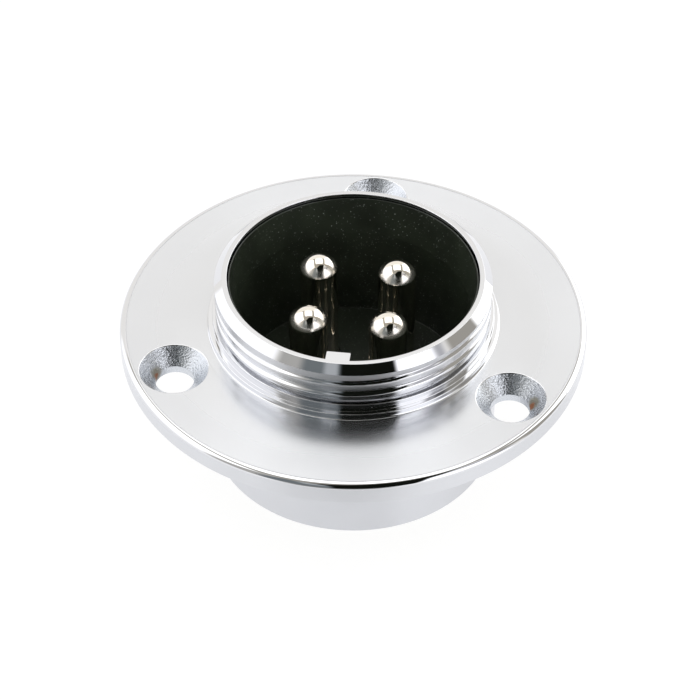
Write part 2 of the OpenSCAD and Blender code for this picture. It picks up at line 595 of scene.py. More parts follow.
class Patch(Effect):
    """Soft round patch about a point, with a ragged edge."""

    def lay(self, bench: Bench, place: Socket, *given: Socket) -> tuple[Socket, ...]:
        """Takes the distance to the point and roughens it by a noise.

        Args:
            bench: the group's bench.
            place: the point on the surface.
            given: the point's x, y and z, the patch's radius and its raggedness.

        Returns:
            Mask of the patch.
        """
        x, y, z, radius, ragged = given
        centre = bench.node("CombineXYZ", X=x, Y=y, Z=z).outputs[0]
        away = bench.sway(bench.noise(place, 2.6, 3.0, 0.5), ragged,
                          bench.vector("DISTANCE", place, centre, output=1))
        return (bench.span(away, bench.times(radius, 0.45), radius, 1.0, 0.0),)


GRAIN = Grain("surface_grain", ("Grains per mm", "Clouds per mm", "Depth"),
              ("Height", "Fine", "Cloud"))
FLECKS = Flecks("small_flecks", ("Cells per mm", "Share", "Size"), ("Spot", "Tone"))
TOOL_MARKS = ToolMarks("tool_marks", ("Rings per mm", "Round", "Depth"), ("Height", "Ring"))
PATCH = Patch("soft_patch", ("X", "Y", "Z", "Radius", "Ragged"), ("Mask",))


# Finishes


@dataclass(frozen=True)
class Finish:
    """A finish: its name, its plain values, and nodes that vary them.

    The finishes below also hold the depth of their relief in millimetres, the sway
    of their roughness, where clouds tint them, and the values of each effect used.
    """

    name: str
    base: Colour
    roughness: float
    metallic: float = 1.0

    def material(self) -> Material:
        """Builds the finish as a Principled material.

        Returns:
            The material.
        """
        data = bpy.data.materials.new(self.name)
        data.use_nodes = True
        data.diffuse_color = (*self.base, 1.0)
        bench = Bench(data.node_tree)
        sockets = data.node_tree.nodes["Principled BSDF"].inputs
        plain = {"Base Color": self.base, "Metallic": self.metallic, "Roughness": self.roughness}
        for name, value in {**plain, **self.dress(bench)}.items():
            bench.feed(sockets[name], value)
        return data

    def dress(self, bench: Bench) -> dict[str, Value]:
        """Lays the finish's nodes and gives the shader's inputs. Each finish has its own."""
        raise NotImplementedError


@dataclass(frozen=True)
class SatinPlating(Finish):
    """Plating over a turned and finely blasted surface, on the flange and the barrel."""

    name: str = "satin_plating"
    base: Colour = (0.72, 0.73, 0.75)
    roughness: float = 0.31
    polished: float = 0.14
    ring: Point = (18.0, 23.0)
    face: float = 2.3
    turned: float = 0.88
    lay: float = 0.25
    sway: float = 0.06
    clouds: tuple[float, ...] = (0.3, 0.7, 0.0, 0.35)
    darker: float = 0.95
    depth: float = 0.0015
    grain: Triple = (5.5, 0.16, 1.0)
    marks: Triple = (5.0, 0.03, 0.5)

    def dress(self, bench: Bench) -> dict[str, Value]:
        """Lays the grain, the turning and the brighter middle of the face.

        Args:
            bench: the material's bench.

        Returns:
            The shader's inputs by name.
        """
        grain, _, cloud = GRAIN.on(bench, *self.grain)
        marks, _ = TOOL_MARKS.on(bench, *self.marks)
        place = bench.place()
        # Masked while it was blasted: the face turns brighter towards the collar
        masked = bench.times(bench.span(bench.radius(place), *self.ring, 1.0, 0.0),
                             bench.maths("GREATER_THAN", bench.height(place), self.face))
        rough = bench.maths("MULTIPLY_ADD", masked, self.polished - self.roughness, self.roughness)
        tone = bench.span(cloud, *self.clouds)
        # Faced on a lathe before the blasting, so highlights spread across the turning
        spread = bench.node("Tangent", {"direction_type": "RADIAL", "axis": "Z"})
        return {
            "Base Color": bench.blend(tone, self.base, [self.darker * part for part in self.base]),
            "Roughness": bench.sway(cloud, self.sway, rough),
            "Anisotropic": self.turned,
            "Anisotropic Rotation": self.lay,
            "Tangent": spread.outputs[0],
            "Normal": bench.relief(bench.plus(grain, marks), self.depth),
        }


@dataclass(frozen=True)
class BrightPlating(Finish):
    """Polished plating, on the collar and the flange's rounded edge."""

    name: str = "bright_plating"
    base: Colour = (0.74, 0.745, 0.76)
    nick: Colour = (0.5, 0.5, 0.52)
    roughness: float = 0.03
    sway: float = 0.03
    nick_tone: float = 0.5
    nick_rough: float = 0.3
    depth: float = 0.00012
    marks: Triple = (9.0, 0.05, 1.0)
    grain: Triple = (6.0, 0.35, 0.6)
    nicks: Triple = (1.6, 0.05, 0.12)

    def dress(self, bench: Bench) -> dict[str, Value]:
        """Lays the polishing marks and a few nicks.

        Args:
            bench: the material's bench.

        Returns:
            The shader's inputs by name.
        """
        marks, ring = TOOL_MARKS.on(bench, *self.marks)
        grain, _, _ = GRAIN.on(bench, *self.grain)
        nicks, _ = FLECKS.on(bench, *self.nicks)
        rough = bench.sway(ring, self.sway, self.roughness)
        return {
            "Base Color": bench.blend(bench.times(nicks, self.nick_tone), self.base, self.nick),
            "Roughness": bench.plus(rough, bench.times(nicks, self.nick_rough)),
            "Normal": bench.relief(bench.plus(marks, grain), self.depth),
        }


@dataclass(frozen=True)
class TurnedCrest(Finish):
    """Plating on the thread's crests, scuffed by a coupling nut on the first turns."""

    name: str = "turned_crest"
    base: Colour = (0.74, 0.745, 0.76)
    nick: Colour = (0.9, 0.91, 0.93)
    roughness: float = 0.12
    scuffed: float = 0.42
    turns: Point = (5.3, 6.8)
    sway: float = 0.1
    nick_tone: float = 0.5
    depth: float = 0.0006
    marks: Triple = (14.0, 0.04, 1.0)
    nicks: Triple = (1.3, 0.06, 0.14)

    def dress(self, bench: Bench) -> dict[str, Value]:
        """Lays the turning marks, the nicks and the scuffing that grows with height.

        Args:
            bench: the material's bench.

        Returns:
            The shader's inputs by name.
        """
        marks, ring = TOOL_MARKS.on(bench, *self.marks)
        nicks, _ = FLECKS.on(bench, *self.nicks)
        rough = bench.span(bench.height(bench.place()), *self.turns, self.roughness, self.scuffed)
        return {
            "Base Color": bench.blend(bench.times(nicks, self.nick_tone), self.base, self.nick),
            "Roughness": bench.sway(ring, self.sway, rough),
            "Normal": bench.relief(marks, self.depth),
        }


@dataclass(frozen=True)
class CastRecess(Finish):
    """Plating on the rough cast wall of a countersink, with residue by two holes."""

    name: str = "cast_recess"
    base: Colour = (0.66, 0.685, 0.72)
    pit: Colour = (0.45, 0.46, 0.48)
    film: Colour = (0.27, 0.24, 0.16)
    rust: Colour = (0.30, 0.10, 0.035)
    roughness: float = 0.27
    sway: float = 0.18
    pit_tone: float = 0.35
    film_tone: float = 0.75
    film_rough: float = 0.25
    rust_tone: float = 0.9
    rust_bare: float = 0.8
    depth: float = 0.075
    grain: Triple = (4.2, 0.6, 1.0)
    pits: Triple = (4.0, 0.3, 0.3)
    film_patch: Point = (1.1, 0.6)
    rust_patch: Point = (0.55, 0.5)
    stains: tuple[Triple, ...] = ((-20.03, -9.82, 0.9), (20.43, -9.78, 1.2))

    def dress(self, bench: Bench) -> dict[str, Value]:
        """Lays the cast grain and its pits, and at each stain a dull film round rust.

        Args:
            bench: the material's bench.

        Returns:
            The shader's inputs by name.
        """
        grain, fine, _ = GRAIN.on(bench, *self.grain)
        pits, _ = FLECKS.on(bench, *self.pits)
        colour = bench.blend(bench.times(pits, self.pit_tone), self.base, self.pit)
        rough = bench.sway(fine, self.sway, self.roughness)
        metal: Value = self.metallic
        for x, y, z in self.stains:
            film = PATCH.on(bench, x, y, z, *self.film_patch)[0]
            rust = PATCH.on(bench, x * 0.995, y * 1.02, z - 0.2, *self.rust_patch)[0]
            colour = bench.blend(bench.times(film, self.film_tone), colour, self.film)
            colour = bench.blend(bench.times(rust, self.rust_tone), colour, self.rust)
            rough = bench.plus(rough, bench.times(film, self.film_rough))
            metal = bench.maths("SUBTRACT", metal, bench.times(rust, self.rust_bare))
        return {"Base Color": colour, "Metallic": metal, "Roughness": rough,
                "Normal": bench.relief(grain, self.depth)}


@dataclass(frozen=True)
class Phenolic(Finish):
    """Black moulding compound with fine mineral flecks."""

    name: str = "black_phenolic"
    base: Colour = (0.022, 0.029, 0.018)
    fleck: Colour = (0.36, 0.40, 0.36)
    roughness: float = 0.38
    metallic: float = 0.0
    refraction: float = 1.52
    sway: float = 0.12
    clouds: Point = (0.3, 0.7)
    darker: float = 0.6
    depth: float = 0.004
    grain: Triple = (4.0, 0.25, 1.0)
    flecks: Triple = (4.0, 0.75, 0.17)

    def dress(self, bench: Bench) -> dict[str, Value]:
        """Lays the slow change of tone and the flecks, each as pale as its own tone.

        Args:
            bench: the material's bench.

        Returns:
            The shader's inputs by name.
        """
        grain, fine, cloud = GRAIN.on(bench, *self.grain)
        flecks, tone = FLECKS.on(bench, *self.flecks)
        body = bench.blend(bench.span(cloud, *self.clouds), self.base,
                           [self.darker * part for part in self.base])
        return {
            "Base Color": bench.blend(bench.times(flecks, tone), body, self.fleck),
            "Roughness": bench.sway(fine, self.sway, self.roughness),
            "IOR": self.refraction,
            "Normal": bench.relief(grain, self.depth),
        }


@dataclass(frozen=True)
class WarmNickel(Finish):
    """Bright nickel over turned brass, on the contacts, duller below the domes."""

    name: str = "warm_nickel"
    base: Colour = (0.90, 0.86, 0.79)
    warm: Colour = (0.86, 0.79, 0.68)
    roughness: float = 0.035
    dull: float = 0.2
    dull_band: Triple = (5.6, 6.4, 0.2)
    sway: float = 0.04
    clouds: tuple[float, ...] = (0.35, 0.65, 0.0, 0.3)
    depth: float = 0.0003
    grain: Triple = (5.0, 0.5, 1.0)

    def dress(self, bench: Bench) -> dict[str, Value]:
        """Lays the warmer clouds and the duller band.

        Args:
            bench: the material's bench.

        Returns:
            The shader's inputs by name.
        """
        grain, fine, cloud = GRAIN.on(bench, *self.grain)
        band = bench.between(bench.height(bench.place()), *self.dull_band)
        tone = bench.span(cloud, *self.clouds)
        rough = bench.sway(fine, self.sway, self.roughness)
        return {
            "Base Color": bench.blend(tone, self.base, self.warm),
            "Roughness": bench.plus(bench.times(self.dull, band), rough),
            "Normal": bench.relief(grain, self.depth),
        }


@dataclass(frozen=True)
class OiledSpringSteel(Finish):
    """Blackened and oiled spring steel, on the snap ring."""

    name: str = "oiled_spring_steel"
    base: Colour = (0.20, 0.20, 0.21)
    oily: Colour = (0.13, 0.125, 0.12)
    roughness: float = 0.38
    sway: float = 0.16
    clouds: Point = (0.35, 0.65)
    depth: float = 0.006
    grain: Triple = (6.0, 0.5, 1.0)

    def dress(self, bench: Bench) -> dict[str, Value]:
        """Lays the oily clouds and the grain."""
        grain, fine, cloud = GRAIN.on(bench, *self.grain)
        return {
            "Base Color": bench.blend(bench.span(cloud, *self.clouds), self.base, self.oily),
            "Roughness": bench.sway(fine, self.sway, self.roughness),
            "Normal": bench.relief(grain, self.depth),
        }


# Sub-assemblies


def hand_over(piece: Piece, node: str) -> None:
    """Stands a finished piece in for its CAD node and reports it.

    Args:
        piece: the finished object.
        node: the CAD node that it replaces.
    """
    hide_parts(node)
    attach(piece, "root")
    low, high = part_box(node)
    LOG.info("%s stands for %s: %d faces, %.2f mm tall", piece.name, node,
             len(piece.data.polygons), (high.z - low.z) / MM)


@dataclass(frozen=True)
class CouplingThread:
    """Right-handed thread with wide crests, cut into the collar."""

    crest: float = 15.0
    pitch: float = 1.5
    depth: float = 0.45
    mouth: float = 0.62
    flank: float = 30.0
    edge: float = 0.14
    start: float = 6.85
    start_angle: float = 277.0
    fade_low: float = 7.2
    fade_high: float = 7.7

    def radius(self, height: float, angle: float) -> float:
        """Follows the groove round the collar.

        Args:
            height: height of a point.
            angle: its angle, in radians.

        Returns:
            The thread's radius there.
        """
        turns = (math.degrees(angle) - self.start_angle) / 360.0
        offset = (height - self.start - self.pitch * turns) / self.pitch
        centre = height - (offset - round(offset)) * self.pitch
        offset = abs(offset - round(offset)) * self.pitch
        cut = (self.mouth / 2.0 - offset) / math.tan(math.radians(self.flank))
        # Softened limits stand for the tool's nose and the polished crest edges
        cut = 0.5 * (cut + math.hypot(cut, self.edge))
        cut = self.depth - 0.5 * ((self.depth - cut) + math.hypot(self.depth - cut, self.edge))
        run_in = (self.fade_high - centre) / (self.fade_high - self.fade_low)
        return self.crest - max(cut, 0.0) * min(max(run_in, 0.0), 1.0)


@dataclass
class Shell:
    """Die-cast and turned shell: flange, threaded collar, key and barrel."""

    flange_radius: float = 25.5
    flange_thickness: float = 2.5
    rear_chamfer: float = 0.15
    edge_run: float = 0.7
    edge_drop: float = 0.5
    edge_steps: int = 12
    seam_width: float = 0.07
    seam_depth: float = 0.045
    line_radius: float = 16.95
    line_half: float = 0.05
    line_depth: float = 0.012
    hole_circle: float = 20.8
    hole_radius: float = 2.1
    head_radius: float = 3.75
    mouth_rounding: float = 0.22
    mouth_clear: float = 0.003
    mouth_band: Point = (0.06, 0.12)
    tool_margin: float = 0.6
    hole_faces: int = 96
    hole_angles: tuple[float, ...] = (90.0, 210.0, 330.0)
    rim: float = 8.8
    bore: float = 13.6
    lip: float = 14.15
    chamfer_height: float = 0.85
    neck_radius: float = 15.35
    neck_top: float = 4.1
    shoulder_radius: float = 15.85
    shoulder_top: float = 3.15
    shoulder_fillet: float = 0.2
    relief_radius: float = 14.55
    relief_top: float = 4.5
    key_width: float = 2.5
    key_inner: float = 12.4
    key_foot: float = -0.2
    key_drop: float = 0.004
    key_rounding: float = 0.14
    barrel_radius: float = 16.0
    barrel_foot: float = -14.7
    foot_chamfer: float = 0.3
    seat: float = 14.7
    seat_top: float = -3.1
    groove: float = 15.3
    groove_top: float = -11.0
    groove_foot: float = -12.08
    segments: int = 240
    thread_row: float = 0.02
    crest_band: float = 0.06
    skin: float = 0.01
    flush: float = 0.001
    thread: CouplingThread = CouplingThread()

    def outline(self) -> list[Point]:
        """Draws the shell's section, from the foot up the outside.

        Returns:
            The outline, which closes on itself.
        """
        face = self.flange_thickness
        inner_edge = self.flange_radius - self.edge_run
        foot, chamfer = self.barrel_foot, self.foot_chamfer
        corners = [
            (self.seat + chamfer, foot, 0.05),
            (self.barrel_radius - chamfer, foot, 0.05),
            (self.barrel_radius, foot + chamfer, 0.06),
            (self.barrel_radius, 0.0, 0.18),
            (self.flange_radius - self.rear_chamfer, 0.0, 0.04),
            (self.flange_radius, self.rear_chamfer, 0.04),
            (self.flange_radius, face - self.edge_drop),
        ]
        for step in range(1, self.edge_steps + 1):
            turn = 0.5 * math.pi * step / self.edge_steps
            corners.append((inner_edge + self.edge_run * math.cos(turn),
                                  face - self.edge_drop + self.edge_drop * math.sin(turn)))
        corners += [
            (inner_edge - 0.3 * self.seam_width, face - self.seam_depth),
            (inner_edge - 0.8 * self.seam_width, face - self.seam_depth),
            (inner_edge - self.seam_width, face),
            (self.line_radius + self.line_half, face),
            (self.line_radius, face - self.line_depth),
            (self.line_radius - self.line_half, face),
            (self.shoulder_radius, face, self.shoulder_fillet),
            (self.shoulder_radius, self.shoulder_top, 0.09),
            (self.neck_radius, self.shoulder_top, 0.05),
            (self.neck_radius, self.neck_top, 0.09),
            (self.relief_radius, self.neck_top, 0.04),
            (self.relief_radius, self.relief_top - 0.1, 0.04),
            (self.thread.crest - 0.12, self.relief_top),
        ]
        low = self.relief_top + 0.04
        high = self.rim - self.chamfer_height
        count = round((high - low) / self.thread_row)
        corners += [(self.thread.crest, low + (high - low) * row / count)
                    for row in range(count)]
        corners += [
            (self.thread.crest, high, self.thread_row / 2.0),
            (self.lip, self.rim, 0.07), (self.bore, self.rim, 0.08),
            (self.bore, self.seat_top), (self.seat, self.seat_top),
            (self.seat, self.groove_top), (self.groove, self.groove_top),
            (self.groove, self.groove_foot), (self.seat, self.groove_foot),
            (self.seat, foot + chamfer, 0.05),
        ]
        return broken(corners, closed=True)

    def on_thread(self, height: float) -> bool:
        """Whether a height lies on the threaded part of the collar."""
        return self.relief_top < height < self.rim - self.chamfer_height

    def with_thread(self, radius: float, height: float, angle: float) -> float:
        """True radius of a point of the outline when it is turned to an angle."""
        threaded = radius > self.lip and self.on_thread(height)
        return min(radius, self.thread.radius(height, angle)) if threaded else radius

    def hole_centre(self, angle: float) -> Vector:
        """Centre of a screw hole at the rear face, from its angle in degrees."""
        turn = math.radians(angle)
        return Vector((self.hole_circle * math.cos(turn), self.hole_circle * math.sin(turn), 0.0))

    def hole_tool(self, angle: float) -> Mesh:
        """Makes the cutter of a countersunk hole with a broken mouth.

        Args:
            angle: the hole's angle, in degrees.

        Returns:
            The cutter.
        """
        face = self.flange_thickness
        above = face + self.mouth_clear
        sink = face - (self.head_radius - self.hole_radius)
        wide = self.head_radius + self.tool_margin
        corners = [
            (0.0, -OVER), (self.hole_radius, -OVER),
            (self.hole_radius, sink, 0.06),
            (self.head_radius + self.mouth_clear, above, self.mouth_rounding),
            (wide, above), (wide, face + OVER), (0.0, face + OVER),
        ]
        tool = turned(broken(corners, steps=5), self.hole_faces)
        return moved(tool, Matrix.Translation(self.hole_centre(angle)))

    def key_tool(self) -> Mesh:
        """Makes the key's bar, rounded where it stands out of the bore.

        Returns:
            The bar.
        """
        half = self.key_width / 2.0
        root = (self.bore + self.lip) / 2.0
        soft = self.key_rounding
        outline = [(half, -root), (half, -self.key_inner - soft)]
        outline += arc((half - soft, -self.key_inner - soft), soft, 0.0, 90.0, 4)[1:]
        outline += arc((-half + soft, -self.key_inner - soft), soft, 90.0, 180.0, 4)
        outline += [(-half, -root)]
        return extruded(outline, self.key_foot, self.rim - self.key_drop)

    def finish_at(self, centre: Vector) -> int:
        """Chooses the finish of a face.

        Args:
            centre: the face's centre.

        Returns:
            0 for satin, 1 for bright, 2 for a cast recess, 3 for a thread crest.
        """
        radius = math.hypot(centre.x, centre.y)
        face = self.flange_thickness
        if self.on_thread(centre.z) and radius > self.thread.crest - self.crest_band:
            return 3
        for angle in self.hole_angles:
            away = centre - self.hole_centre(angle)
            reach = math.hypot(away.x, away.y)
            if reach < self.head_radius - self.mouth_band[0] and centre.z > self.skin:
                return 2
            if (reach < self.head_radius + self.mouth_band[1]
                    and self.skin < centre.z < face - self.flush):
                return 1
        on_collar = centre.z > face + self.skin
        in_bore = radius < self.seat and centre.z > self.seat_top
        on_edge = (radius > self.flange_radius - self.edge_run - self.skin
                   and centre.z > face - self.edge_drop)
        return int(on_collar or in_bore or on_edge)

    def build(self, finishes: Sequence[Material]) -> None:
        """Makes the shell.

        Args:
            finishes: the satin, bright, cast and crest finishes.
        """
        body = turned(self.outline(), self.segments, closed=True, reshape=self.with_thread)
        work = Workpiece("plated_shell", body)
        for angle in self.hole_angles:
            work.combine(self.hole_tool(angle), Joining.CUT)
        work.combine(self.key_tool(), Joining.ADD)
        hand_over(work.finish(finishes, self.finish_at), "shell")


@dataclass(frozen=True)
class ContactPlan:
    """Places of the four contacts, shared by the pieces that hold them."""

    circle: float = 6.1
    first_angle: float = 135.0
    count: int = 4
    drill_faces: int = 64

    def places(self) -> list[Matrix]:
        """Turn and move of each contact from the part's axis."""
        angles = [self.first_angle + 360.0 / self.count * index for index in range(self.count)]
        return [Matrix.Rotation(math.radians(angle), 4, "Z")
                @ Matrix.Translation((self.circle, 0.0, 0.0)) for angle in angles]

    def drill(self, work: Workpiece, *steps: Point) -> None:
        """Drills a hole at each contact's place, from its (radius, height) steps."""
        for place in self.places():
            work.combine(moved(rod(steps, self.drill_faces), place), Joining.CUT)


@dataclass
class InsulatorCup:
    """Moulded cup: base on the barrel's step, floor and skirt in the collar."""

    skirt_radius: float = 13.5
    cavity_radius: float = 12.7
    skirt_top: float = 8.35
    lip_width: float = 0.15
    floor: float = -7.4
    floor_fillet: float = 0.1
    mouth_slope: float = 4.5
    foot: float = -9.2
    base_radius: float = 14.6
    step: float = -3.1
    key_gap: float = 0.15
    hole_radius: float = 2.41
    segments: int = 192

    def build(self, shell: Shell, plan: ContactPlan, finish: Material) -> None:
        """Makes the cup.

        Args:
            shell: gives the key that the cup's slot clears.
            plan: gives the contacts' places.
            finish: the moulding's material.
        """
        corners = [
            (0.0, self.foot), (self.base_radius, self.foot, 0.15),
            (self.base_radius, self.step, 0.1), (self.skirt_radius, self.step, 0.05),
            (self.skirt_radius, self.skirt_top, 0.05),
            (self.skirt_radius - self.lip_width, self.skirt_top, 0.05),
            (self.cavity_radius, self.skirt_top - self.mouth_slope, 0.1),
            (self.cavity_radius, self.floor, self.floor_fillet), (0.0, self.floor),
        ]
        work = Workpiece("insulator_cup_moulding", turned(broken(corners), self.segments))
        half = shell.key_width / 2.0 + self.key_gap
        slot = bar((-half, -self.skirt_radius - OVER, shell.key_foot - self.key_gap),
                   (half, -shell.key_inner + self.key_gap, self.skirt_top + OVER))
        work.combine(slot, Joining.CUT)
        plan.drill(work, (self.hole_radius, self.foot - OVER),
                   (self.hole_radius, self.floor + OVER))
        hand_over(work.finish([finish]), "insulator_cup")


@dataclass
class ClampPlate:
    """Rear moulding that clamps the contacts' flanges against the cup."""

    radius: float = 14.6
    top: float = -9.2
    foot: float = -11.0
    tail_hole: float = 2.26
    grip_hole: float = 3.16
    grip_foot: float = -10.26
    segments: int = 192

    def build(self, plan: ContactPlan, finish: Material) -> None:
        """Makes the plate.

        Args:
            plan: gives the contacts' places.
            finish: the moulding's material.
        """
        corners = [(0.0, self.foot), (self.radius, self.foot, 0.15),
                   (self.radius, self.top, 0.1), (0.0, self.top)]
        work = Workpiece("clamp_plate_moulding", turned(broken(corners), self.segments))
        plan.drill(work, (self.tail_hole, self.foot - OVER), (self.tail_hole, self.grip_foot),
                   (self.grip_hole, self.grip_foot), (self.grip_hole, self.top + OVER))
        hand_over(work.finish([finish]), "insulator_plate")


@dataclass
class Contact:
    """Turned male contact: domed pin, root, clamped flange and solder tail."""

    pin_radius: float = 2.1
    root_radius: float = 2.35
    dome_radius: float = 2.25
    dome_edge: float = 0.6
    dome_steps: int = 18
    edge_steps: int = 6
    tip: float = 7.0
    floor: float = -7.4
    grip_top: float = -9.2
    grip_foot: float = -10.2
    grip_radius: float = 3.1
    tail_radius: float = 2.2
    tail_foot: float = -14.2
    cup_radius: float = 1.6
    cup_depth: float = 3.2
    drill_point: float = 0.25
    scarf_length: float = 2.6
    scarf_offset: float = 0.4
    segments: int = 80

    def outline(self) -> list[Point]:
        """Draws the contact's section, from the solder cup's floor to the tip.

        Returns:
            The outline, which starts and ends on the axis.
        """
        cup_floor = self.tail_foot + self.cup_depth
        reach = self.dome_radius - self.dome_edge
        rise = math.sqrt(reach ** 2 - (self.pin_radius - self.dome_edge) ** 2)
        dome_foot = self.tip - self.dome_radius + rise
        corners = [
            (0.0, cup_floor - self.drill_point), (self.cup_radius, cup_floor),
            (self.cup_radius, self.tail_foot, 0.08),
            (self.tail_radius, self.tail_foot, 0.12),
            (self.tail_radius, self.grip_foot, 0.1),
            (self.grip_radius, self.grip_foot, 0.08),
            (self.grip_radius, self.grip_top, 0.08),
            (self.root_radius, self.grip_top, 0.03),
            (self.root_radius, self.floor, 0.06), (self.pin_radius, self.floor, 0.03),
            (self.pin_radius, dome_foot),
        ]
        start = math.degrees(math.acos((self.pin_radius - self.dome_edge) / reach))
        edge = arc((self.pin_radius - self.dome_edge, dome_foot), self.dome_edge, 0.0, start,
                   self.edge_steps)
        cap = arc((0.0, self.tip - self.dome_radius), self.dome_radius, start, 90.0,
                  self.dome_steps)
        return broken(corners) + edge[1:] + cap[1:-1] + [(0.0, self.tip)]

    def build(self, index: int, place: Matrix, finish: Material) -> None:
        """Makes one contact.

        Args:
            index: its number, from 1.
            place: its turn and move.
            finish: its material.
        """
        work = Workpiece(f"contact_pin_{index}", turned(self.outline(), self.segments))
        slant = math.atan((self.tail_radius - self.scarf_offset) / self.scarf_length)
        side = 4.0 * self.tail_radius
        scarf = moved(bar((0.0, -side / 2.0, -side / 2.0), (side / 2.0, side / 2.0, side)),
                      Matrix.Translation((self.scarf_offset, 0.0, self.tail_foot))
                      @ Matrix.Rotation(slant, 4, "Y"))
        work.combine(scarf, Joining.CUT)
        work.item.data.transform(place)
        hand_over(work.finish([finish]), f"contact_{index}")


@dataclass
class SnapRing:
    """Internal snap ring that holds the clamp plate in the barrel."""

    radius: float = 15.22
    width: float = 2.2
    taper: float = 0.9
    gap: float = 5.0
    lug_radius: float = 1.5
    lug_hole: float = 0.7
    top: float = -11.0
    foot: float = -12.0
    edge_break: float = 0.05
    sharp: float = 60.0
    outer_faces: int = 192
    inner_faces: int = 160
    lug_faces: int = 48
    hole_faces: int = 32

    def disc(self, x: float, y: float, radius: float, over: float, faces: int) -> Mesh:
        """Round bar at (x, y) through the ring's thickness, standing over it by a margin."""
        steps = ((radius, self.foot - over), (radius, self.top + over))
        return moved(rod(steps, faces), Matrix.Translation((x, y, 0.0)))

    def build(self, finish: Material) -> None:
        """Makes the ring, which is wider opposite its gap.

        Args:
            finish: its material.
        """
        work = Workpiece("snap_ring", self.disc(0.0, 0.0, self.radius, 0.0, self.outer_faces))
        off = self.taper / 2.0
        work.combine(self.disc(0.0, off, self.radius - self.width + off, OVER,
                               self.inner_faces), Joining.CUT)
        work.combine(bar((-self.gap / 2.0, 0.0, self.foot - OVER),
                         (self.gap / 2.0, self.radius + OVER, self.top + OVER)), Joining.CUT)
        lug_x = self.gap / 2.0 + self.lug_radius
        lug_y = math.sqrt((self.radius - self.lug_radius) ** 2 - lug_x ** 2)
        for radius, over, faces, joining in (
                (self.lug_radius, 0.0, self.lug_faces, Joining.ADD),
                (self.lug_hole, OVER, self.hole_faces, Joining.CUT)):
            for x in (-lug_x, lug_x):
                work.combine(self.disc(x, lug_y, radius, over, faces), joining)
        work.soften(self.edge_break, self.sharp)
        hand_over(work.finish([finish]), "retaining_ring")


# Studio


@dataclass(frozen=True)
class StudioCamera:
    """Camera that looks down at the flange's front face."""

    azimuth: float = 7.0
    elevation: float = 42.94
    distance: float = 247.31
    across: float = 0.352
    up: float = 3.551
    face: float = 2.5
    lens: float = 116.34
    sensor: float = 36.0
    near: float = 0.005
    far: float = 20.0

    def build(self) -> None:
        """Makes the scene's camera."""
        turn, lift = math.radians(self.azimuth), math.radians(self.elevation)
        back = Vector((math.sin(turn) * math.cos(lift), -math.cos(turn) * math.cos(lift),
                       math.sin(lift)))
        right = Vector((math.cos(turn), math.sin(turn), 0.0))
        upward = back.cross(right)
        spot = (Vector((0.0, 0.0, self.face)) - self.across * right - self.up * upward
                + self.distance * back) * MM
        data = bpy.data.cameras.new("camera")
        data.lens = self.lens
        data.sensor_width = self.sensor
        data.clip_start = self.near
        data.clip_end = self.far
        camera = bpy.data.objects.new("camera", data)
        bpy.context.scene.collection.objects.link(camera)
        columns = Matrix((right, upward, back)).transposed()
        camera.matrix_world = Matrix.Translation(spot) @ columns.to_4x4()
        bpy.context.scene.camera = camera


@dataclass(frozen=True)
class Pane:
    """Flat part of the light tent, convex, with corners that go round it in order.

    Each corner is a direction (x, y, z) from the object, where y points away from
    the front and z is 1 where it is not given. They may run either way round.
    """

    corners: tuple[tuple[float, ...], ...]
    light: Colour
    soft: float = 0.05

    def mask(self, bench: Bench, direction: Socket) -> Socket:
        """Lays the pane's outline.

        Args:
            bench: bench of the tree that shows it.
            direction: the direction that is looked in.

        Returns:
            Mask that is 1 where the direction meets the pane.
        """
        corners = [Vector((*corner, 1.0)[:3]) for corner in self.corners]
        middle = sum((corner.normalized() for corner in corners), Vector())
        inside: Value = 1.0
        for here, after in zip(corners, corners[1:] + corners[:1]):
            edge = here.cross(after).normalized()
            if edge.dot(middle) < 0.0:
                edge.negate()
            depth = bench.vector("DOT_PRODUCT", direction, edge[:], output=1)
            inside = bench.times(inside, bench.span(depth, -self.soft, self.soft))
        return inside


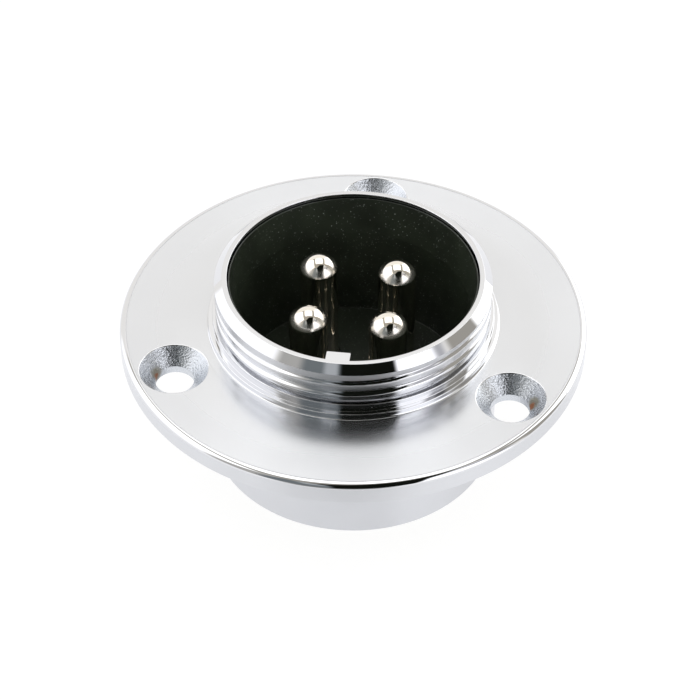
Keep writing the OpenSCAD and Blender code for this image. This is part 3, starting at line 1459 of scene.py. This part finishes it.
@dataclass(frozen=True)
class LightTent:
    """White tent with lit panes in its frame, and the dark gap at the camera."""

    front: float = 7.0
    upper: Point = (0.62, 0.80)
    wall: Colour = (1.03, 1.01, 0.98)
    upper_wall: Colour = (1.40, 1.39, 1.37)
    frame: Colour = (0.42, 0.40, 0.36)
    dark: Colour = (0.006, 0.007, 0.005)
    lit: Colour = (1.9, 1.9, 1.9)
    plain: Colour = (1.0, 1.0, 1.0)

    panes: tuple[Pane, ...] = (
        # Posts and rails of the tent, and what stands by the camera
        Pane(((-0.42, -0.25), (-1.0, -0.43, -0.6), (0.10, -1.0, -0.6), (-0.10, -0.35)),
             (0.50, 0.49, 0.47)),
        Pane(((-0.36, -0.30), (-0.75, -0.9, 0.0), (0.10, -1.0, 0.0), (-0.10, -0.36)),
             (0.19, 0.21, 0.22), 0.06),
        Pane(((-0.31, -0.42), (-0.44, -1.0), (-0.22, -1.0), (-0.18, -0.42)),
             (0.48, 0.50, 0.52), 0.04),
        Pane(((-0.64, 1.0), (-0.50, -0.25), (-0.28, -0.25), (-0.40, 1.0)), frame, 0.03),
        Pane(((0.33, 1.05), (0.34, 0.0), (0.56, 0.0), (0.50, 1.05)), frame, 0.03),
        Pane(((-0.40, 0.12), (-0.34, -0.38), (0.50, -0.05), (0.50, 0.2)), frame, 0.03),
        Pane(((0.50, 0.22), (0.55, -0.05), (1.0, -0.25, -0.6), (1.0, 0.27, -0.6)), frame),
        Pane(((0.50, -0.05), (1.0, -0.27, 0.35), (0.55, -1.0, 0.35), (0.53, -0.7)),
             (0.55, 0.55, 0.58)),
        # Lit panes: two on the left, one on the right, one overhead, one beside the camera
        Pane(((-0.54, 0.78), (-0.47, -0.22), (-1.0, -0.43, -0.15), (-1.0, 0.75, -0.15)),
             (1.4, 1.4, 1.43), 0.04),
        Pane(((-0.54, 0.78), (-0.47, -0.22), (-0.80, -0.33), (-0.80, 0.78)), lit, 0.04),
        Pane(((0.57, 0.18), (1.0, 0.27, -0.6), (0.5, 0.94, -0.6), (0.60, 1.4)), lit, 0.04),
        Pane(((-0.33, 0.71), (-0.26, 0.07), (0.32, 0.15), (0.31, 0.71)), lit, 0.03),
        Pane(((0.64, -0.42), (1.0, -0.34, 0.6), (1.0, -0.34, -0.5), (0.52, -1.0, -0.5),
              (0.56, -1.0)), (1.7, 1.7, 1.75)),
        # Dark places: a small fitting and the camera's gap
        Pane(((0.86, -0.10), (1.06, -0.10), (1.06, -0.30), (0.86, -0.30)),
             (0.16, 0.16, 0.17), 0.04),
        Pane(((-0.23, -0.36), (0.05, -0.06), (0.46, 0.03), (0.55, -0.75), (0.59, -1.1),
              (-0.12, -1.1)), dark, 0.035),
        Pane(((-0.15, -0.65), (0.54, -0.65), (0.36, -1.0, -0.5), (-0.12, -1.0, -0.5)),
             dark, 0.035),
    )

    def build(self) -> None:
        """Makes the world: the tent for glossy rays, plain white for all others."""
        world = bpy.data.worlds.new("light_tent")
        bpy.context.scene.world = world
        world.use_nodes = True
        world.node_tree.nodes.clear()
        bench = Bench(world.node_tree)
        spin = bench.node("VectorRotate", {"rotation_type": "Z_AXIS"},
                          Vector=bench.node("TexCoord").outputs["Generated"],
                          Angle=-math.radians(self.front))
        direction = spin.outputs[0]
        colour = bench.blend(bench.span(bench.height(direction), *self.upper), self.wall,
                             self.upper_wall)
        for pane in self.panes:
            colour = bench.blend(pane.mask(bench, direction), colour, pane.light)
        glossy = bench.node("LightPath").outputs["Is Glossy Ray"]
        mixed = bench.mixed(glossy, bench.node("Background", Color=self.plain),
                            bench.node("Background", Color=colour))
        bench.node("OutputWorld", Surface=mixed.outputs[0])


@dataclass(frozen=True)
class WhiteFloor:
    """White table that the barrel's foot stands on."""

    height: float = -14.7
    size: float = 4000.0
    glow: Colour = (0.86, 0.855, 0.83)
    paint: Colour = (0.20, 0.205, 0.23)
    mirrored: Colour = (0.80, 0.80, 0.816)
    under: Colour = (0.28, 0.28, 0.28)
    eye: float = 5.0
    # Painted shade: a dark patch on the floor in front, by direction from a point on the axis, met
    # only by reflected and bounced rays
    front: Pane = Pane(((-0.35, -1.0, -0.32), (0.42, -1.0, -0.32), (0.42, -1.0, 0.6),
                        (-0.35, -1.0, 0.6)), (0.02, 0.02, 0.02), 0.12)

    def build(self) -> None:
        """Makes the floor."""
        half = self.size / 2.0
        mesh = bmesh.new()
        mesh.faces.new([mesh.verts.new((x * half, y * half, self.height))
                        for x, y in ((-1, -1), (1, -1), (1, 1), (-1, 1))])
        floor = placed("white_table", mesh)
        floor.data.transform(Matrix.Scale(MM, 4))
        floor.data.materials.append(self.material())

    def material(self) -> Material:
        """Makes the floor's paint.

        Returns:
            A material that partly glows, so that it stays white, and partly takes shadow; its glow
            for reflected and bounced rays carries a painted shade, dark in front.
        """
        material = bpy.data.materials.new("table_white")
        material.use_nodes = True
        material.node_tree.nodes.clear()
        bench = Bench(material.node_tree)
        # Painted shade: the glow that reflected and bounced rays meet turns dark in front of the
        # object; the camera sees the floor white
        away = bench.vector("SUBTRACT", bench.node("NewGeometry").outputs["Position"],
                            (0.0, 0.0, self.eye * MM))
        mask = self.front.mask(bench, bench.vector("NORMALIZE", away))
        glow = bench.blend(mask, self.mirrored, self.front.light)
        met, seen = (bench.added(bench.node("Emission", Color=light),
                                 bench.node("BsdfDiffuse", Color=paint))
                     for light, paint in ((glow, self.under), (self.glow, self.paint)))
        mixed = bench.mixed(bench.node("LightPath").outputs["Is Camera Ray"], met, seen)
        bench.node("OutputMaterial", Surface=mixed.outputs[0])
        return material


def main() -> None:
    """Builds the receptacle piece by piece, then the studio round it."""
    logging.basicConfig(level=logging.INFO, format="%(name)s: %(message)s")
    bpy.context.scene.view_settings.view_transform = "Standard"
    shell, plan = Shell(), ContactPlan()
    platings = (SatinPlating(), BrightPlating(), CastRecess(), TurnedCrest())
    phenolic, nickel = Phenolic().material(), WarmNickel().material()
    shell.build([plating.material() for plating in platings])
    InsulatorCup().build(shell, plan, phenolic)
    ClampPlate().build(plan, phenolic)
    for index, place in enumerate(plan.places(), 1):
        Contact().build(index, place, nickel)
    SnapRing().build(OiledSpringSteel().material())
    WhiteFloor().build()
    LightTent().build()
    StudioCamera().build()


if __name__ == "__main__":
    main()
